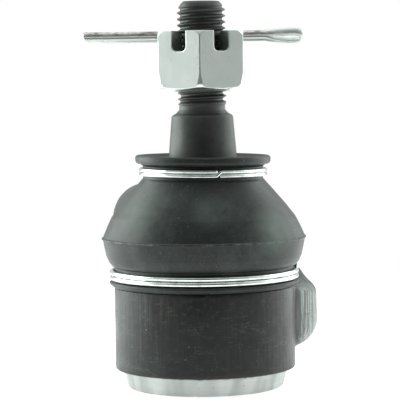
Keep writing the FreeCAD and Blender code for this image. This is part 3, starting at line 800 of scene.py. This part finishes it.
def nut_material():
    """Bright zinc on machined flats: satin, with faint drawn lines along the bar."""
    s = Shader("zinc_plating", (0.80, 0.85, 0.83), 0.3, 1.0)
    lines = s.noise(1.0, 3.0, 0.55, s.stretched(5200.0, 5200.0, 260.0))
    cloud = s.noise(150.0, 4.0, 0.55)
    spots = s.ramp(s.noise(900.0, 2.0, 0.5), 0.70, 0.78)
    tone = s.ramp(cloud, 0.3, 0.72, (0.675, 0.71, 0.69), (0.77, 0.805, 0.785))
    tone = s.laid(tone, spots, 0.35, (0.42, 0.45, 0.43))
    return s.paint(Base_Color=tone, Roughness=s.map(lines, 0.3, 0.7, 0.27, 0.35),
                   Normal=s.bump(lines, 0.006 * MM, 0.4))


def pin_material():
    """Plated pin: brown patches along its upper leg, a brighter eye."""
    s = Shader("pin_steel", (0.74, 0.75, 0.73), 0.4, 1.0)
    x, y, z = s.axes()
    along = s.plus(s.times(x, math.cos(PIN_TURN)), s.times(y, math.sin(PIN_TURN)))
    above = s.map(z, (PIN_HEIGHT + 0.1) * MM, (PIN_HEIGHT + 0.5) * MM, 0.0, 1.0)
    patch = s.ramp(s.noise(1.0, 4.0, 0.65, s.stretched(420.0, 420.0, 900.0)), 0.40, 0.62)
    bright = s.map(along, 12.5 * MM, 15 * MM, 0.0, 1.0)
    brown = s.times(s.times(above, patch), s.without(bright))
    tone = s.mix(bright, (0.60, 0.62, 0.59), (0.72, 0.74, 0.73))
    tone = s.mix(brown, tone, (0.20, 0.17, 0.15))
    lines = s.noise(1.0, 3.0, 0.6, s.stretched(300.0, 3000.0, 3000.0))
    rough = s.plus(s.map(patch, 0.0, 1.0, 0.36, 0.48), s.times(bright, 0.12))
    return s.paint(Base_Color=tone, Roughness=rough, Normal=s.bump(lines, 0.005 * MM, 0.4))


def phosphate_material():
    """Dark phosphated steel with faint turned rings."""
    s = Shader("phosphated_steel", (0.04, 0.042, 0.041), 0.38, 0.55)
    cloud = s.noise(160.0, 5.0, 0.6)
    grain = s.noise(3000.0, 3.0, 0.6)
    rings = s.noise(1.0, 2.0, 0.5, s.stretched(90.0, 90.0, 6000.0))
    tone = s.ramp(cloud, 0.3, 0.7, (0.040, 0.043, 0.041), (0.088, 0.092, 0.088))
    height = s.plus(s.times(rings, 0.8), grain)
    return s.paint(Base_Color=tone, Roughness=s.map(grain, 0.3, 0.7, 0.36, 0.5),
                   Normal=s.bump(height, 0.03 * MM, 0.5))


def plain_steel_material(name, colour, rough):
    """Bare steel with faint rings and dull stains."""
    s = Shader(name, colour, rough, 1.0)
    rings = s.noise(1.0, 3.0, 0.6, s.stretched(300.0, 300.0, 4000.0))
    stain = s.noise(150.0, 5.0, 0.6)
    tone = s.mix(s.map(stain, 0.35, 0.7, 0.0, 0.6), colour, tuple(c * 0.6 for c in colour))
    return s.paint(Base_Color=tone, Roughness=s.map(stain, 0.3, 0.7, rough - 0.05, rough + 0.15),
                   Normal=s.bump(rings, 0.03 * MM, 0.5))


def polymer_material():
    """Off-white moulded polymer."""
    s = Shader("seat_polymer", (0.78, 0.76, 0.68), 0.45)
    cloud = s.noise(200.0, 4.0, 0.6)
    tone = s.ramp(cloud, 0.3, 0.7, (0.70, 0.68, 0.60), (0.82, 0.80, 0.72))
    return s.paint(Base_Color=tone, Roughness=s.map(cloud, 0.3, 0.7, 0.4, 0.55),
                   Normal=s.bump(s.noise(1800.0), 0.04 * MM, 0.4))


# --- studio: floor, light and camera ---------------------------------------------------

def tinted(level):
    """A level of light with the faint cool green of the photograph's studio."""
    return (level * 0.93, level, level * 0.965, 1)


def build_world(toward_camera):
    """White room: bright beside and behind the object, dimmer on the camera's side."""
    world = bpy.data.worlds.new("studio")
    world.use_nodes = True
    tree = world.node_tree
    links = tree.links
    place = tree.nodes.new("ShaderNodeTexCoord")
    facing = tree.nodes.new("ShaderNodeVectorMath")
    facing.operation = "DOT_PRODUCT"
    facing.inputs[1].default_value = toward_camera
    links.new(place.outputs["Generated"], facing.inputs[0])
    ramp = tree.nodes.new("ShaderNodeValToRGB")
    half = tree.nodes.new("ShaderNodeMapRange")
    half.inputs["From Min"].default_value = -1
    half.inputs["From Max"].default_value = 1
    links.new(facing.outputs["Value"], half.inputs["Value"])
    links.new(half.outputs[0], ramp.inputs["Fac"])
    stops = ramp.color_ramp.elements
    stops[0].position, stops[0].color = 0.0, tinted(BACK_LEVEL)
    stops[1].position, stops[1].color = 1.0, tinted(CAMERA_SIDE)
    for position, level in ((SIDE_STOP, SIDE_LEVEL), (HALF_STOP, HALF_LEVEL)):
        stop = stops.new(position)
        stop.color = tinted(level)
    back = tree.nodes["Background"]
    links.new(ramp.outputs["Color"], back.inputs["Color"])
    sight = tree.nodes.new("ShaderNodeLightPath")
    white = tree.nodes.new("ShaderNodeBackground")
    white.inputs["Color"].default_value = (1, 1, 1, 1)
    both = tree.nodes.new("ShaderNodeMixShader")
    links.new(sight.outputs["Is Camera Ray"], both.inputs[0])
    links.new(back.outputs[0], both.inputs[1])
    links.new(white.outputs[0], both.inputs[2])
    links.new(both.outputs[0], tree.nodes["World Output"].inputs["Surface"])
    bpy.context.scene.world = world


def build_floor():
    """A pale disc under the object, glowing a little so that it stays as pale as the room."""
    rows = []
    for radius, drop in ((0.002, 0), (FLOOR_RADIUS, 0), (FLOOR_RADIUS + 0.001, -0.001)):
        rows.append([(radius * math.cos(TURN * k / 96), FLOOR_MIDDLE
                      + radius * math.sin(TURN * k / 96), drop) for k in range(96)])
    floor = grid_piece("floor", rows, caps=True)
    s = Shader("floor_white", (FLOOR_TONE,) * 3, 0.6)
    mottle = s.ramp(s.noise(3.0, 2.0, 0.5), 0.2, 0.8, (FLOOR_TONE - 0.01,) * 3,
                    (FLOOR_TONE + 0.01,) * 3)
    dress(floor, s.paint(Base_Color=mottle, Emission_Color=(1, 1, 1, 1),
                         Emission_Strength=FLOOR_GLOW))


def add_lamp(name, place, size, power):
    data = bpy.data.lights.new(name, "AREA")
    data.shape = "RECTANGLE"
    data.size, data.size_y = size
    data.energy = power
    data.color = tinted(1.0)[:3]
    lamp = bpy.data.objects.new(name, data)
    lamp.location = place
    lamp.rotation_euler = (LAMP_TARGET - place).to_track_quat("-Z", "Y").to_euler()
    bpy.context.scene.collection.objects.link(lamp)


def build_studio():
    side = Vector((math.cos(CAMERA_TURN), math.sin(CAMERA_TURN), 0))
    away = Vector((-math.sin(CAMERA_TURN), math.cos(CAMERA_TURN), 0))
    build_world(side * math.sin(DIM_TURN) - away * math.cos(DIM_TURN))
    bpy.context.scene.view_settings.view_transform = "Standard"
    build_floor()
    for name, across, back, up, size, power in LAMPS:
        place = LAMP_TARGET + side * across + away * back + Vector((0, 0, up))
        add_lamp(name, place, size, power)


def build_camera():
    data = bpy.data.cameras.new("camera")
    data.lens = CAMERA_LENS
    data.sensor_width = CAMERA_SENSOR
    camera = bpy.data.objects.new("camera", data)
    turn = Matrix.Rotation(CAMERA_TURN + CAMERA_YAW, 4, "Z")
    tip = Matrix.Rotation(math.pi / 2 - CAMERA_PITCH, 4, "X")
    roll = Matrix.Rotation(CAMERA_ROLL, 4, "Z")
    place = Vector((math.sin(CAMERA_TURN), -math.cos(CAMERA_TURN), 0)) * CAMERA_DISTANCE
    place.z = CAMERA_HEIGHT
    camera.matrix_world = Matrix.Translation(place) @ turn @ tip @ roll
    bpy.context.scene.collection.objects.link(camera)
    bpy.context.scene.camera = camera


# --- assembly --------------------------------------------------------------------------

def placed(piece, body, slot, material, *replaced):
    """Ride a piece on its body, dress it and hide the CAD parts that it replaces; the slot is not
    used.
    """
    dress(piece, material)
    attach(piece, body)
    if replaced:
        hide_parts(*replaced)


build_studio()
build_camera()

forged = forged_material()
placed(make_forging(), "housing", "forged_black", forged, "housing")
placed(make_socket_thread(), "housing", "forged_black", thread_material())
steel = plain_steel_material("bare_steel", (0.62, 0.63, 0.62), 0.32)
placed(make_cover(), "housing", "bare_steel", steel, "cover_plate")
wire = wire_material()
placed(make_lower_clip(), "housing", "bright_wire", wire, "lower_boot_clip")
placed(make_upper_clip(), "boot_collar", "bright_wire", wire, "upper_boot_clip")
phosphate = phosphate_material()
placed(make_stud(), "stud", "phosphated_steel", phosphate, "ball_stud")
placed(make_nut(), "stud", "zinc_plating", nut_material(), "castle_nut")
placed(make_cotter_pin(), "pin", "pin_steel", pin_material(), "cotter_pin")

boot = make_boot()
dress(boot, rubber_material())
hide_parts("dust_boot")
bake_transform(boot)

dress(nodes["preload_spring"], plain_steel_material("spring_steel", (0.35, 0.35, 0.36), 0.4))
polymer = polymer_material()
dress(nodes["lower_ball_seat"], polymer)
dress(nodes["upper_ball_seat"], polymer)
